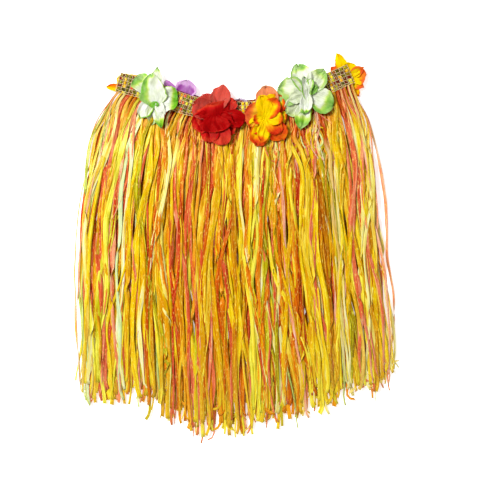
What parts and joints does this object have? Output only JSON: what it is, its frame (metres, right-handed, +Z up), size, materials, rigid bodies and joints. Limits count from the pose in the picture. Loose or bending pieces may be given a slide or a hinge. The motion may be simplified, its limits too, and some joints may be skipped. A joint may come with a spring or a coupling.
{
  "type": "grass skirt",
  "caption": "Hula-style grass skirt laid flat: knitted waistband loop with a long two-layer curtain of raffia strands and cloth flowers sewn along the band.",
  "frame": {"origin": "centre of the laid skirt's bounding box, on the surface that it lies on", "axes": "+Y runs from the hem to the waistband, +Z is up out of the surface, +X is to the right of someone who looks down on the skirt with the waistband at the top"},
  "size_m": [0.5344, 0.6274, 0.0342],
  "materials": {
    "band_knit": "knitted cream thread over golden raffia, matt",
    "raffia": "creased plastic raffia ribbon, satin, golden yellow with orange, coral and mint strands",
    "petal_green_white": "thin white petal cloth with bright green edges",
    "petal_red": "thin deep red petal cloth",
    "petal_yellow": "thin yellow petal cloth with orange-red tips",
    "petal_orange": "thin yellow petal cloth with orange edges",
    "petal_purple": "thin purple petal cloth with pale edges",
    "petal_lilac": "thin pale lilac petal cloth"
  },
  "bodies": {
    "root": {"waistband": "band_knit", "strands_front_01": "raffia", "strands_front_02": "raffia", "strands_front_03": "raffia", "strands_front_04": "raffia", "strands_front_05": "raffia", "strands_front_06": "raffia", "strands_front_07": "raffia", "strands_front_08": "raffia", "strands_front_09": "raffia", "strands_front_10": "raffia", "strands_front_11": "raffia", "strands_front_12": "raffia", "strands_front_13": "raffia", "strands_front_14": "raffia", "strands_back_01": "raffia", "strands_back_02": "raffia", "strands_back_03": "raffia", "strands_back_04": "raffia", "strands_back_05": "raffia", "strands_back_06": "raffia", "strands_back_07": "raffia", "strands_back_08": "raffia", "strands_back_09": "raffia", "strands_back_10": "raffia", "strands_back_11": "raffia", "strands_back_12": "raffia", "flower_green_left_outer": "petal_green_white", "flower_green_left_inner": "petal_green_white", "flower_red_outer": "petal_red", "flower_red_inner": "petal_red", "flower_yellow_outer": "petal_yellow", "flower_yellow_inner": "petal_yellow", "flower_green_right_outer": "petal_green_white", "flower_green_right_inner": "petal_green_white", "flower_orange_right_outer": "petal_orange", "flower_orange_right_inner": "petal_orange", "flower_orange_left_outer": "petal_orange", "flower_orange_left_inner": "petal_orange", "flower_purple_outer": "petal_purple", "flower_purple_inner": "petal_purple", "flower_lilac_outer": "petal_lilac", "flower_lilac_inner": "petal_lilac"}
  },
  "joints": []
}
